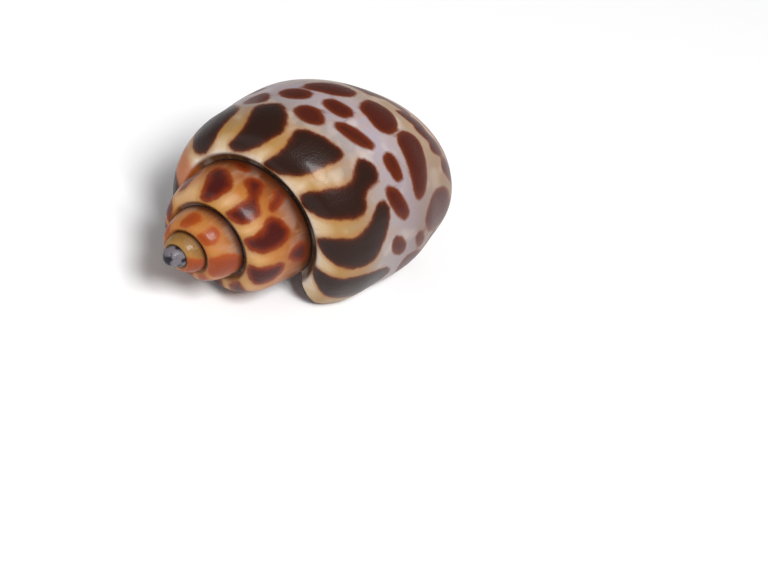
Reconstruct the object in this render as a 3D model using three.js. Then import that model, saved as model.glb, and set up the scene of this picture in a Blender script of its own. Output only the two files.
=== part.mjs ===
// A spiral babylon sea-snail shell, with the horny operculum that closes its mouth.
// Millimetres, +Z up. The shell lies mouth down, as it comes to rest on a table. The origin is on the
// table, below the middle of the shell's box. The spire points to -X.
import * as THREE from "three";

// The coil. A "turn" counts whorls along the spiral: 0 is a reference place on the last whorl, older
// growth is negative. The suture is the seam between two whorls. Cross-sections are measured in units
// of the suture's radius at their turn: [distance from the shell's axis, depth below the suture].
const SUTURE_RADIUS = 9.72; // at turn 0, from the shell's axis
const SUTURE_DEPTH = 17.3; // at turn 0, below the tip of the coil
const RADIUS_GROWTH = 1.7; // per whorl, at turn 0
const RADIUS_SLOWING = 0.019; // older whorls widened faster than that
const DEPTH_GROWTH = 2.02; // per whorl
const LIP_TURN = 0.1;
const SPIRE_TURNS = 4; // whorls before the last one
const STEPS_PER_TURN = 34;

// Outside of a whorl, from the suture to the rim of the umbilicus.
const WHORL_OUTLINE = [
  [1, 0],
  [1.05, -0.012], // floor of the channel beside the suture
  [1.1, -0.048],
  [1.145, -0.072], // rim of the shoulder
  [1.222, -0.064],
  [1.326, -0.025],
  [1.454, 0.068],
  [1.559, 0.246],
  [1.642, 0.518],
  [1.668, 0.882],
  [1.702, 1.32], // widest place
  [1.672, 1.753],
  [1.506, 2.186],
  [1.272, 2.567],
  [1.067, 2.837],
  [0.903, 2.935], // groove above the ridge round the umbilicus
  [0.772, 3.053],
  [0.61, 3.133], // crest of that ridge
  [0.45, 3.08],
  [0.33, 2.86], // rim of the umbilicus
];
const SPAN_OF_NEXT_SUTURE = [8, 12]; // the next whorl covers this one from between these places
const UPPER_SAMPLES = 10; // from the suture to the next suture
const LOWER_SAMPLES = 16; // from there to the rim of the umbilicus
const UMBILICUS_SAMPLES = 4;
const UMBILICUS_TOP = 0.3; // depth of its pointed ceiling, in the mouth's cross-section
const UMBILICUS_TAPER = 0.45;

// Inside of the mouth: each place lies opposite the same place of the whorl's outline, from the back
// corner round the outer wall to the siphon.
const HOLLOW_OUTER = [
  [1.13, 0.1],
  [1.14, 0.065],
  [1.16, 0.038],
  [1.19, 0.025],
  [1.24, 0.022],
  [1.316, 0.056],
  [1.408, 0.133],
  [1.492, 0.296],
  [1.562, 0.548],
  [1.582, 0.892],
  [1.612, 1.32],
  [1.582, 1.723],
  [1.428, 2.126],
  [1.208, 2.488],
  [1.02, 2.74],
  [0.88, 2.84],
  [0.78, 2.93],
  [0.67, 2.97], // siphon
  [0.57, 2.88],
  [0.52, 2.65],
];
const HOLLOW_PILLAR = [
  [0.49, 2.3],
  [0.465, 1.8],
  [0.48, 1.35],
];
// Its inner wall runs along the whorl before it, past these places of that whorl's outline.
const HOLLOW_PARIETAL = [
  [0.95, 2.92],
  [1.29, 2.58],
  [1.515, 2.19],
  [1.66, 1.75],
];
const PARIETAL_WALL = 0.035;
const HOLLOW_TURNS = 0.94;
const SECTION_MIDDLE = [0.95, 1.5];

// The edge of the mouth stands a little forward at the belly, and has a notch for the siphon.
const LIP_SHAPING_TURNS = 0.22;
const LIP_BULGE = 0.018;
const NOTCH_DEPTH = 0.05;
const NOTCH_ANGLE = 1.72;
const NOTCH_WIDTH = 0.2;
const LIP_THINNING_TURNS = 0.07;
const LIP_THINNING = 0.022;
const LIP_ROUNDNESS = 0.35; // of its thickness
const LIP_ROUNDED = 0.12; // no more than this thickness counts

// The last stretch of growth also flares out at the base, towards the siphon.
const FLARE = 0.14;
const FLARE_ANGLE = 1.2; // round the middle of the section
const FLARE_WIDTH = 0.37;
const FLARE_TURNS = [-0.28, 0.02];
const FLARE_AT_LIP = 0.6; // of its height, at the edge of the mouth

// The smooth knob at the tip, which covers the first whorls.
const KNOB_RADIUS = 1.45;
const KNOB_DEPTH = 2; // of its widest level, below the tip
const KNOB_END_TURNS = [-3.95, -3.45]; // it gives way to the coil between these turns

// The enamel pad on the wall of the mouth's inner side.
const CALLUS_TURNS = 0.05;
const CALLUS_HEIGHT = 0.03;

// The operculum, a thin horny plate just inside the mouth, set deeper towards the siphon.
const OPERCULUM_INSET = 0.032; // turns behind the edge of the mouth
const OPERCULUM_LEAN = 0.004;
const OPERCULUM_TURNS = 0.012; // its thickness
const OPERCULUM_DISH = 0.004;
const OPERCULUM_GAP = 0.033;
const OPERCULUM_MIDDLE = [1.02, 1.55];

// How the shell lies, in degrees: turned mouth down about its axis, then tipped over on its side. The
// tip of the spire ends up a little lower than the axis at the mouth.
const REST_ROLL = 87.71;
const REST_TIP = 92;
const REST_FLAT = 0.25; // the worn flats it rests on are this deep

const sutureRadius = (turn) => SUTURE_RADIUS * RADIUS_GROWTH ** turn * Math.exp(-RADIUS_SLOWING * turn ** 2);
const sutureDepth = (turn) => SUTURE_DEPTH * DEPTH_GROWTH ** turn;
const { smoothstep, lerp, clamp, degToRad } = THREE.MathUtils;
const RIM = WHORL_OUTLINE.length - 1;
const CEILING_DEPTH = sutureDepth(LIP_TURN) + sutureRadius(LIP_TURN) * UMBILICUS_TOP;

const curveThrough = (corners) => new THREE.SplineCurve(corners.map(([x, y]) => new THREE.Vector2(x, y)));
const whorlCurve = curveThrough(WHORL_OUTLINE);
const outlineAt = (place) => whorlCurve.getPoint(place / (WHORL_OUTLINE.length - 1)).toArray();

const angleInSection = ([across, below]) => Math.atan2(below - SECTION_MIDDLE[1], across - SECTION_MIDDLE[0]);
const bump = (x, middle, width) => Math.exp(-(((x - middle) / width) ** 2));

// How far the edge of the mouth stands forward at a place of the cross-section.
function lipOffset(corner) {
  const notch = bump(angleInSection(corner), NOTCH_ANGLE, NOTCH_WIDTH);
  return LIP_BULGE * smoothstep(corner[0], 1, 1.5) - NOTCH_DEPTH * notch;
}

function flared(turn, corner) {
  const angle = angleInSection(corner);
  const rise = smoothstep(turn, ...FLARE_TURNS);
  const fall = lerp(1, FLARE_AT_LIP, smoothstep(turn, FLARE_TURNS[1], LIP_TURN));
  const lift = FLARE * rise * fall * bump(angle, FLARE_ANGLE, FLARE_WIDTH);
  return [corner[0] + lift * Math.cos(angle), corner[1] + lift * Math.sin(angle)];
}

// A point near the tip, brought out to the surface of the knob.
function onKnob(turn, [x, y, z]) {
  const size = Math.hypot(x / KNOB_RADIUS, y / KNOB_RADIUS, z / KNOB_DEPTH + 1);
  const share = 1 - smoothstep(turn, ...KNOB_END_TURNS);
  const scale = size < 1 ? lerp(1, 1 / size, share) : 1;
  return [x * scale, y * scale, (z + KNOB_DEPTH) * scale - KNOB_DEPTH];
}

// A point of a cross-section in the shell's own frame: the axis is +Z and the tip is the origin.
function pointAt(turn, [across, below]) {
  const radius = sutureRadius(turn);
  const angle = -2 * Math.PI * turn;
  return onKnob(turn, [
    radius * across * Math.cos(angle),
    radius * across * Math.sin(angle),
    -sutureDepth(turn) - radius * below,
  ]);
}

// The same, with the last stretch of growth drawn out to the shape of the lip.
function shapedPoint(turn, corner, forward = 0) {
  const shaping = smoothstep(turn, LIP_TURN - LIP_SHAPING_TURNS, LIP_TURN);
  return pointAt(turn + shaping * lipOffset(corner) + forward, flared(turn, corner));
}

// Where a whorl meets the suture of the next one, as a place along its outline.
function nextSuture(turn) {
  const depth = (sutureDepth(turn + 1) - sutureDepth(turn)) / sutureRadius(turn);
  let [low, high] = SPAN_OF_NEXT_SUTURE;
  while (high - low > 1e-6) {
    const middle = (low + high) / 2;
    if (outlineAt(middle)[1] < depth) low = middle;
    else high = middle;
  }
  return low;
}

// A place of the outline, moved outward.
function lifted([across, below], lift) {
  const tilt = Math.atan2(below - SECTION_MIDDLE[1], across - SECTION_MIDDLE[0] / 2);
  return [across + lift * Math.cos(tilt), below + lift * Math.sin(tilt)];
}

// The thickness of the enamel pad on the start of the last whorl, which lies beside the mouth.
function padHeight(turn) {
  const beyond = clamp((turn - LIP_TURN + 1) / CALLUS_TURNS, 0, 1);
  return CALLUS_HEIGHT * RADIUS_GROWTH * Math.sqrt(1 - beyond ** 2);
}

// The same place in the units of the cross-section one whorl later.
function fromWhorlBefore(turn, [across, below]) {
  const lift = (sutureDepth(turn - 1) - sutureDepth(turn)) / sutureRadius(turn);
  const share = sutureRadius(turn - 1) / sutureRadius(turn);
  return [across * share, lift + below * share];
}

const inRow = (count, cornerAt) => Array.from({ length: count }, (_, k) => cornerAt((k + 1) / count));

// Corners from the suture to the next suture.
function upperCorners(turn) {
  const end = nextSuture(turn);
  return [[1, 0], ...inRow(UPPER_SAMPLES, (part) => outlineAt(part * end))];
}

// Corners from there over the base to the rim of the umbilicus, and up to its ceiling.
function lowerCorners(turn) {
  const start = nextSuture(turn);
  const pad = padHeight(turn);
  const base = inRow(LOWER_SAMPLES, (part) => lifted(outlineAt(lerp(start, RIM, part)), pad));
  const [rimAcross, rimBelow] = base.at(-1);
  const ceiling = (CEILING_DEPTH - sutureDepth(turn)) / sutureRadius(turn);
  const funnel = inRow(UMBILICUS_SAMPLES, (part) => [
    rimAcross * (1 - part) ** UMBILICUS_TAPER,
    lerp(rimBelow, ceiling, part),
  ]);
  return [...base, ...funnel];
}

// Corners of the hollow, as many as the edge of the mouth has.
function hollowCorners(turn) {
  const thinning = LIP_THINNING * smoothstep(turn, LIP_TURN - LIP_THINNING_TURNS, LIP_TURN);
  const outer = HOLLOW_OUTER.map(([across, below]) => [
    across + (across - SECTION_MIDDLE[0]) * thinning,
    below + (below - SECTION_MIDDLE[1]) * thinning,
  ]);
  const parietal = HOLLOW_PARIETAL.map((place) =>
    fromWhorlBefore(turn, lifted(place, PARIETAL_WALL * RADIUS_GROWTH)),
  );
  const ring = [...outer, ...HOLLOW_PILLAR, ...parietal, outer[0]];
  const root = RIM + HOLLOW_PILLAR.length + 1;
  const curve = curveThrough(ring);
  const stretch = (from, to, count) =>
    inRow(count, (part) => curve.getPoint(lerp(from, to, part) / (ring.length - 1)).toArray());
  return [
    outer[0],
    ...stretch(0, nextSuture(turn), UPPER_SAMPLES),
    ...stretch(nextSuture(turn), RIM, LOWER_SAMPLES),
    ...stretch(RIM, root, 2 * UMBILICUS_SAMPLES),
    ...stretch(root, ring.length - 1, LOWER_SAMPLES).slice(0, -1),
  ];
}

// A closed surface, built up from rows of points.
class Skin {
  points = [];
  faces = [];
  add(point) {
    return this.points.push(point) - 1;
  }
  row(turn, corners) {
    return corners.map((corner) => this.add(shapedPoint(turn, corner)));
  }
  face(a, b, c) {
    if (a !== b && b !== c && c !== a) this.faces.push(a, c, b);
  }
  // Joins two rows that run side by side, the second one being later growth of an outside.
  strip(row, next) {
    for (let j = 0; j + 1 < row.length; j++) {
      this.face(row[j], row[j + 1], next[j]);
      this.face(row[j + 1], next[j + 1], next[j]);
    }
  }
  fan(middle, row) {
    for (let j = 0; j + 1 < row.length; j++) this.face(middle, row[j + 1], row[j]);
  }
  geometry() {
    return new THREE.BufferGeometry()
      .setAttribute("position", new THREE.Float32BufferAttribute(this.points.flat(), 3))
      .setIndex(this.faces);
  }
}

const closed = (ring) => [...ring, ring[0]];
const everyOther = (ring) => ring.filter((_, k) => k % 2 === 0);

// Joins a ring to one with half as many points.
function halve(skin, ring, half) {
  for (let k = 0; k < half.length; k++) {
    const a = ring[2 * k];
    const b = ring[2 * k + 1];
    const c = ring[(2 * k + 2) % ring.length];
    const p = half[k];
    const q = half[(k + 1) % half.length];
    skin.face(a, b, p);
    skin.face(b, q, p);
    skin.face(b, c, q);
  }
}

function makeShell() {
  const skin = new Skin();
  const last = (SPIRE_TURNS + 1) * STEPS_PER_TURN;
  const startOfLast = last - STEPS_PER_TURN;
  const turnOf = (step) => LIP_TURN + (step - last) / STEPS_PER_TURN;
  const sutures = Array.from({ length: last + 1 }, (_, step) => skin.add(shapedPoint(turnOf(step), [1, 0])));

  // The outside, one row of points for each step along the coil.
  const upper = sutures.map((suture, step) => {
    const corners = upperCorners(turnOf(step));
    const row = skin.row(turnOf(step), corners.slice(1, -1));
    const end = sutures[step + STEPS_PER_TURN] ?? skin.add(shapedPoint(turnOf(step), corners.at(-1)));
    return [suture, ...row, end];
  });
  const ceiling = skin.add([0, 0, -CEILING_DEPTH]);
  const lower = upper.map((row, step) =>
    step < startOfLast
      ? null
      : [row.at(-1), ...skin.row(turnOf(step), lowerCorners(turnOf(step)).slice(0, -1)), ceiling],
  );
  for (let step = 0; step < last; step++) skin.strip(upper[step], upper[step + 1]);
  for (let step = startOfLast; step < last; step++) skin.strip(lower[step], lower[step + 1]);

  // The top of the knob, over the start of the coil.
  const tip = skin.add([0, 0, 0]);
  skin.fan(tip, sutures.slice(0, STEPS_PER_TURN).reverse());
  skin.fan(sutures[STEPS_PER_TURN - 1], [tip, ...upper[0]]);

  // The edge of the mouth, round the outer lip, over the end of the pillar and back along the whorl
  // before.
  const edge = [...upper[last], ...lower[last].slice(1), ...lower[startOfLast].slice(1, -1).reverse()];
  const before = lowerCorners(turnOf(startOfLast)).slice(0, -1).reverse();
  const edgeCorners = [
    ...upperCorners(LIP_TURN),
    ...lowerCorners(LIP_TURN),
    ...before.map((corner) => fromWhorlBefore(LIP_TURN, corner)),
  ];
  const mouthCorners = hollowCorners(LIP_TURN);
  const rounding = edgeCorners.map(([across, below], k) => {
    const [innerAcross, innerBelow] = mouthCorners[k];
    const thickness = Math.min(Math.hypot(across - innerAcross, below - innerBelow), LIP_ROUNDED);
    const middle = [(across + innerAcross) / 2, (below + innerBelow) / 2];
    const forward = (LIP_ROUNDNESS * thickness) / (2 * Math.PI * middle[0]);
    return skin.add(shapedPoint(LIP_TURN, middle, forward));
  });
  const mouth = skin.row(LIP_TURN, mouthCorners);
  skin.strip(closed(edge), closed(rounding));
  skin.strip(closed(rounding), closed(mouth));

  // The hollow, back into the coil.
  const depth = Math.round(HOLLOW_TURNS * STEPS_PER_TURN);
  let outer = null;
  for (let step = 1; step <= depth; step++) {
    const turn = turnOf(last - step);
    const ring = skin.row(turn, everyOther(hollowCorners(turn)));
    if (outer) skin.strip(closed(outer), closed(ring));
    else halve(skin, mouth, ring);
    outer = ring;
  }
  const end = hollowCorners(turnOf(last - depth));
  const middle = end.reduce(([x, y], corner) => [x + corner[0] / end.length, y + corner[1] / end.length], [0, 0]);
  skin.fan(skin.add(pointAt(turnOf(last - depth), middle)), closed(outer).reverse());
  return skin.geometry();
}

// The operculum follows the hollow's cross-section, a gap inside it, and is slightly dished.
function makeOperculum() {
  const skin = new Skin();
  const turn = LIP_TURN - OPERCULUM_INSET;
  const outline = everyOther(hollowCorners(turn));
  const count = outline.length;
  const rim = outline.map(([across, below], k) => {
    const before = outline[(k + count - 1) % count];
    const after = outline[(k + 1) % count];
    const along = new THREE.Vector2(after[0] - before[0], after[1] - before[1]).normalize();
    return [across - along.y * OPERCULUM_GAP, below + along.x * OPERCULUM_GAP];
  });
  const inward = ([across, below], part) => [
    lerp(across, OPERCULUM_MIDDLE[0], part),
    lerp(below, OPERCULUM_MIDDLE[1], part),
  ];
  const rings = [
    [1, 0],
    [0.5, 0],
    [0.04, 0],
    [0, 0.25],
    [0, 0.75],
    [0.04, 1],
    [0.5, 1],
    [1, 1],
  ];
  const rows = rings.map(([part, face]) => {
    const at = turn + (face - 1) * OPERCULUM_TURNS - OPERCULUM_DISH * part * (2 - part);
    const place = ([across, below]) => skin.add(pointAt(at - OPERCULUM_LEAN * below ** 2, [across, below]));
    return part === 1 ? place(OPERCULUM_MIDDLE) : rim.map((corner) => place(inward(corner, part)));
  });
  skin.fan(rows[0], closed(rows[1]));
  for (let k = 1; k < rings.length - 2; k++) skin.strip(closed(rows[k]), closed(rows[k + 1]));
  skin.fan(rows.at(-1), closed(rows.at(-2)).reverse());
  return skin.geometry();
}

// Turned and tipped over as it lies.
const lying = new THREE.Matrix4().makeRotationFromEuler(
  new THREE.Euler(0, -degToRad(REST_TIP), -degToRad(REST_ROLL)),
);

// The lowest parts of a surface, worn down to one level.
function wornFlat(geometry) {
  geometry.computeBoundingBox();
  const level = geometry.boundingBox.min.z + REST_FLAT;
  const position = geometry.attributes.position;
  for (let k = 0; k < position.count; k++) position.setZ(k, Math.max(position.getZ(k), level));
  return geometry;
}

const shell = new THREE.Mesh(
  wornFlat(makeShell().applyMatrix4(lying)),
  new THREE.MeshStandardMaterial({ color: 0xa8784a, roughness: 0.25, metalness: 0 }),
);
shell.name = "shell";
const operculum = new THREE.Mesh(
  makeOperculum().applyMatrix4(lying),
  new THREE.MeshStandardMaterial({ color: 0x5a1a12, roughness: 0.4, metalness: 0 }),
);
operculum.name = "operculum";

const group = new THREE.Group();
group.add(shell, operculum);
const box = new THREE.Box3().setFromObject(group, true);
const centre = box.getCenter(new THREE.Vector3());
group.position.set(-centre.x, -centre.y, -box.min.z);
export default group;
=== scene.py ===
"""A spiral babylon sea-snail shell lying on its mouth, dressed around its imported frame."""
import math

import bpy
import numpy as np
from mathutils import Matrix, Vector


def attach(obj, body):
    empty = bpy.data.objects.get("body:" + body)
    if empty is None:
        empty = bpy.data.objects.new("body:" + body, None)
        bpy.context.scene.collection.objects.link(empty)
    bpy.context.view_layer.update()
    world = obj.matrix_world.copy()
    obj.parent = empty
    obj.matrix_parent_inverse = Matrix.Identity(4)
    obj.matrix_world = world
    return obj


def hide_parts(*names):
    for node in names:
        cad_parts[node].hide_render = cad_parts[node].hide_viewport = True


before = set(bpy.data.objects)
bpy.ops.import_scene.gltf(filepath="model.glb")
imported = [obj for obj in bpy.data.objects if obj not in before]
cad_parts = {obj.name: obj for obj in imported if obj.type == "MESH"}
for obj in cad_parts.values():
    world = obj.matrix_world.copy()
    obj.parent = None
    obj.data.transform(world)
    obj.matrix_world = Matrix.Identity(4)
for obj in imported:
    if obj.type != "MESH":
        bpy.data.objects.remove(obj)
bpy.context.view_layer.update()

MM = 0.001

# The coil, in millimetres and turns, as in the part's source. A "turn" counts whorls along the spiral,
# and cross-sections are [distance from the axis, depth below the suture] in suture radii.
SUTURE_RADIUS = 9.72
SUTURE_DEPTH = 17.3
RADIUS_GROWTH = 1.7
RADIUS_SLOWING = 0.019
DEPTH_GROWTH = 2.02
LIP_TURN = 0.1
SPIRE_TURNS = 4
REST_ROLL = 87.71
REST_TIP = 92
SET_DOWN = (-24.7731, 1.9927, 10.1297)  # moves the lying shell's box over the origin, down on the table

WHORL_OUTLINE = [
    (1, 0),
    (1.05, -0.012),  # floor of the channel beside the suture
    (1.1, -0.048),
    (1.145, -0.072),  # rim of the shoulder
    (1.222, -0.064),
    (1.326, -0.025),
    (1.454, 0.068),
    (1.559, 0.246),
    (1.642, 0.518),
    (1.668, 0.882),
    (1.702, 1.32),  # widest place
    (1.672, 1.753),
    (1.506, 2.186),
    (1.272, 2.567),
    (1.067, 2.837),
    (0.903, 2.935),  # groove above the ridge round the umbilicus
    (0.772, 3.053),
    (0.61, 3.133),  # crest of that ridge
    (0.45, 3.08),
    (0.33, 2.86),  # rim of the umbilicus
]
RIM = len(WHORL_OUTLINE) - 1
NEXT_SUTURE_SPAN = (8, 12)
UMBILICUS_TOP = 0.3
UMBILICUS_TAPER = 0.45

# Inside of the mouth, each place opposite the same place of the outline, then up the pillar.
HOLLOW_OUTER = [
    (1.13, 0.1),
    (1.14, 0.065),
    (1.16, 0.038),
    (1.19, 0.025),
    (1.24, 0.022),
    (1.316, 0.056),
    (1.408, 0.133),
    (1.492, 0.296),
    (1.562, 0.548),
    (1.582, 0.892),
    (1.612, 1.32),
    (1.582, 1.723),
    (1.428, 2.126),
    (1.208, 2.488),
    (1.02, 2.74),
    (0.88, 2.84),
    (0.78, 2.93),
    (0.67, 2.97),  # siphon
    (0.57, 2.88),
    (0.52, 2.65),
]
HOLLOW_PILLAR = [
    (0.49, 2.3),
    (0.465, 1.8),
    (0.48, 1.35),
]
HOLLOW_PARIETAL = [
    (0.95, 2.92),
    (1.29, 2.58),
    (1.515, 2.19),
    (1.66, 1.75),
]
PARIETAL_WALL = 0.035
HOLLOW_TURNS = 0.94
SECTION_MIDDLE = (0.95, 1.5)

LIP_SHAPING_TURNS = 0.22
LIP_BULGE = 0.018
LIP_BULGE_SPAN = (1, 1.5)
NOTCH_DEPTH = 0.05
NOTCH_ANGLE = 1.72
NOTCH_WIDTH = 0.2
LIP_THINNING_TURNS = 0.07
LIP_THINNING = 0.022
LIP_ROUNDNESS = 0.35
LIP_ROUNDED = 0.12

FLARE = 0.14
FLARE_ANGLE = 1.2
FLARE_WIDTH = 0.37
FLARE_TURNS = (-0.28, 0.02)
FLARE_AT_LIP = 0.6

KNOB_RADIUS = 1.45
KNOB_DEPTH = 2
KNOB_END_TURNS = (-3.95, -3.45)
KNOB_CORE = 0.1  # the smallest part of the knob's size that is still divided by

CALLUS_TURNS = 0.05
CALLUS_HEIGHT = 0.03
CALLUS_FADE = (0.6, 1.05)  # where its white thins out, in its own width
UMBILICUS_FADE = 0.12

OPERCULUM_INSET = 0.032
OPERCULUM_LEAN = 0.004
OPERCULUM_TURNS = 0.012
OPERCULUM_DISH = 0.004
OPERCULUM_GAP = 0.033
OPERCULUM_MIDDLE = (1.02, 1.55)

AXIS_FIT = 0.998  # keeps the finely drawn lip within the solid's length
INSET = 0.005  # the drawn surface lies this share of its distance from the axis inside the solid's
RIPPLE_DEPTH = 0.0022  # in the same measure, always inwards
RIPPLE_END = 0.04  # turns before the lip where they fade out
RIPPLES = ((23, 0.0), (37, 1.9), (61, 4.1), (83, 2.6))  # growth ripples per turn, and where each starts
RIPPLE_SWING = 0.012
RIPPLE_BEND = 2.1
SEAM_EASE = (0.1, 0.5)  # from the sutures, in suture radii, where the inset and the ripples come in
MEETING_EASE = (0.7, 1)  # last stretch of a row of points, drawn to the next suture

# How finely the surface is drawn.
STEPS_PER_TURN = 200
UPPER_SAMPLES = 52
LOWER_SAMPLES = 66
UMBILICUS_SAMPLES = 14
LIP_RINGS = 5
DOME_RINGS = 10
OPERCULUM_RINGS = 24
OPERCULUM_CROWDING = 0.9  # below 1, its rings lie a little closer together at the rim
OUTLINE_FINENESS = 40  # samples between two corners when distances along the outline are measured
BISECTIONS = 30
LAST_STEP = (SPIRE_TURNS + 1) * STEPS_PER_TURN
START_OF_LAST = LAST_STEP - STEPS_PER_TURN


def smoothstep(x, low, high):
    t = np.clip((np.asarray(x, float) - low) / (high - low), 0, 1)
    return t * t * (3 - 2 * t)


def turn_of(step):
    return LIP_TURN + (step - LAST_STEP) / STEPS_PER_TURN


def suture_radius(turn):
    turn = np.asarray(turn, float)
    return SUTURE_RADIUS * RADIUS_GROWTH**turn * np.exp(-RADIUS_SLOWING * turn**2)


def suture_depth(turn):
    return SUTURE_DEPTH * DEPTH_GROWTH ** np.asarray(turn, float)


def spline(corners, places):
    """Points of the smooth curve through the corners, at places counted in corners."""
    p = np.asarray(corners, float)
    places = np.clip(np.asarray(places, float), 0, len(p) - 1)
    k = np.minimum(places.astype(int), len(p) - 2)
    w = (places - k)[..., None]
    p0 = p[np.maximum(k - 1, 0)]
    p1 = p[k]
    p2 = p[k + 1]
    p3 = p[np.minimum(k + 2, len(p) - 1)]
    v0 = (p2 - p0) / 2
    v1 = (p3 - p1) / 2
    return (2 * p1 - 2 * p2 + v0 + v1) * w**3 + (3 * p2 - 3 * p1 - 2 * v0 - v1) * w**2 + v0 * w + p1


def on_knob(turn, points):
    """Points near the tip, brought out to the surface of the knob."""
    x, y, z = points[..., 0], points[..., 1], points[..., 2]
    size = np.sqrt((x**2 + y**2) / KNOB_RADIUS**2 + (z / KNOB_DEPTH + 1) ** 2)
    share = 1 - smoothstep(turn, *KNOB_END_TURNS)
    scale = np.where(size < 1, 1 + share * (1 / np.maximum(size, KNOB_CORE) - 1), 1)
    return np.stack([x * scale, y * scale, (z + KNOB_DEPTH) * scale - KNOB_DEPTH], axis=-1)


def point_at(turn, corners):
    """Points of a cross-section in the shell's own frame: its axis is +Z, its tip the origin."""
    corners = np.asarray(corners, float)
    radius = suture_radius(turn)
    angle = -2 * math.pi * np.asarray(turn, float)
    across = radius * corners[..., 0]
    x = across * np.cos(angle)
    y = across * np.sin(angle)
    z = -suture_depth(turn) - radius * corners[..., 1]
    return on_knob(turn, np.stack([x, y, z], axis=-1))


def angle_in_section(corners):
    return np.arctan2(corners[..., 1] - SECTION_MIDDLE[1], corners[..., 0] - SECTION_MIDDLE[0])


def bump(x, middle, width):
    return np.exp(-(((x - middle) / width) ** 2))


def lip_offset(corners):
    """How far the edge of the mouth stands forward at each place, in turns."""
    notch = bump(angle_in_section(corners), NOTCH_ANGLE, NOTCH_WIDTH)
    return LIP_BULGE * smoothstep(corners[..., 0], *LIP_BULGE_SPAN) - NOTCH_DEPTH * notch


def flared(turn, corners):
    """The base flares out towards the siphon in the last stretch of growth."""
    angle = angle_in_section(corners)
    rise = smoothstep(turn, *FLARE_TURNS)
    fall = 1 - (1 - FLARE_AT_LIP) * smoothstep(turn, FLARE_TURNS[1], LIP_TURN)
    lift = FLARE * rise * fall * bump(angle, FLARE_ANGLE, FLARE_WIDTH)
    return corners + lift[..., None] * np.stack([np.cos(angle), np.sin(angle)], axis=-1)


def ripple(turn, corners):
    """Low growth ripples that run down the whorl and bend a little, from 0 to 1."""
    swing = RIPPLE_SWING * np.sin(RIPPLE_BEND * corners[..., 1])
    waves = sum(np.sin(2 * math.pi * count * (turn + swing) + start) for count, start in RIPPLES)
    return 0.5 + 0.5 * waves / len(RIPPLES)


def shaped_point(turn, corners, forward=0):
    corners = np.asarray(corners, float)
    shaping = smoothstep(turn, LIP_TURN - LIP_SHAPING_TURNS, LIP_TURN)
    return point_at(turn + shaping * lip_offset(corners) + forward, flared(turn, corners))


def rippled_point(turn, corners, seam_distance):
    """The outside of a whorl with its growth ripples, which fade out at the sutures and the lip."""
    corners = np.asarray(corners, float)
    depth = RIPPLE_DEPTH * (1 - smoothstep(turn, LIP_TURN - RIPPLE_END, LIP_TURN))
    inward = smoothstep(seam_distance, *SEAM_EASE) * (INSET + depth * ripple(turn, corners))
    points = shaped_point(turn, corners)
    points[..., :2] *= (1 - inward)[..., None]
    return points


def next_suture(turn):
    """Where a whorl meets the suture of the next one, as a place along its outline."""
    depth = (suture_depth(turn + 1) - suture_depth(turn)) / suture_radius(turn)
    low, high = NEXT_SUTURE_SPAN
    for _ in range(BISECTIONS):
        middle = (low + high) / 2
        if spline(WHORL_OUTLINE, middle)[1] < depth:
            low = middle
        else:
            high = middle
    return low


def lifted(corners, lift):
    corners = np.asarray(corners, float)
    tilt = np.arctan2(corners[..., 1] - SECTION_MIDDLE[1], corners[..., 0] - SECTION_MIDDLE[0] / 2)
    return corners + lift * np.stack([np.cos(tilt), np.sin(tilt)], axis=-1)


def pad_height(turn):
    beyond = min(max((turn - LIP_TURN + 1) / CALLUS_TURNS, 0), 1)
    return CALLUS_HEIGHT * RADIUS_GROWTH * math.sqrt(1 - beyond**2)


def from_whorl_before(turn, corners):
    lift = (suture_depth(turn - 1) - suture_depth(turn)) / suture_radius(turn)
    share = suture_radius(turn - 1) / suture_radius(turn)
    return np.asarray(corners, float) * share + np.array([0, lift])


def parts(count):
    return np.arange(1, count + 1) / count


def upper_places(turn):
    return np.concatenate([[0], parts(UPPER_SAMPLES) * next_suture(turn)])


def lower_places(turn):
    start = next_suture(turn)
    return start + (RIM - start) * parts(LOWER_SAMPLES)


def funnel_corners(turn):
    ceiling = (CEILING_DEPTH - suture_depth(turn)) / suture_radius(turn)
    rise = parts(UMBILICUS_SAMPLES)
    rim_across, rim_below = lifted(WHORL_OUTLINE[RIM], pad_height(turn))
    across = rim_across * (1 - rise) ** UMBILICUS_TAPER
    return np.stack([across, rim_below + (ceiling - rim_below) * rise], axis=-1)


CEILING_DEPTH = suture_depth(LIP_TURN) + suture_radius(LIP_TURN) * UMBILICUS_TOP


def lower_corners(turn):
    base = lifted(spline(WHORL_OUTLINE, lower_places(turn)), pad_height(turn))
    return np.concatenate([base, funnel_corners(turn)])


def hollow_corners(turn):
    thinning = LIP_THINNING * smoothstep(turn, LIP_TURN - LIP_THINNING_TURNS, LIP_TURN)
    outer = np.asarray(HOLLOW_OUTER, float)
    outer = outer + (outer - np.array(SECTION_MIDDLE)) * thinning
    parietal = from_whorl_before(turn, lifted(HOLLOW_PARIETAL, PARIETAL_WALL * RADIUS_GROWTH))
    ring = np.concatenate([outer, HOLLOW_PILLAR, parietal, outer[:1]])
    root = RIM + len(HOLLOW_PILLAR) + 1
    stop = next_suture(turn)
    places = np.concatenate([
        [0],
        parts(UPPER_SAMPLES) * stop,
        stop + (RIM - stop) * parts(LOWER_SAMPLES),
        RIM + (root - RIM) * parts(2 * UMBILICUS_SAMPLES),
        root + (len(ring) - 1 - root) * parts(LOWER_SAMPLES)[:-1],
    ])
    return spline(ring, places)


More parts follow.
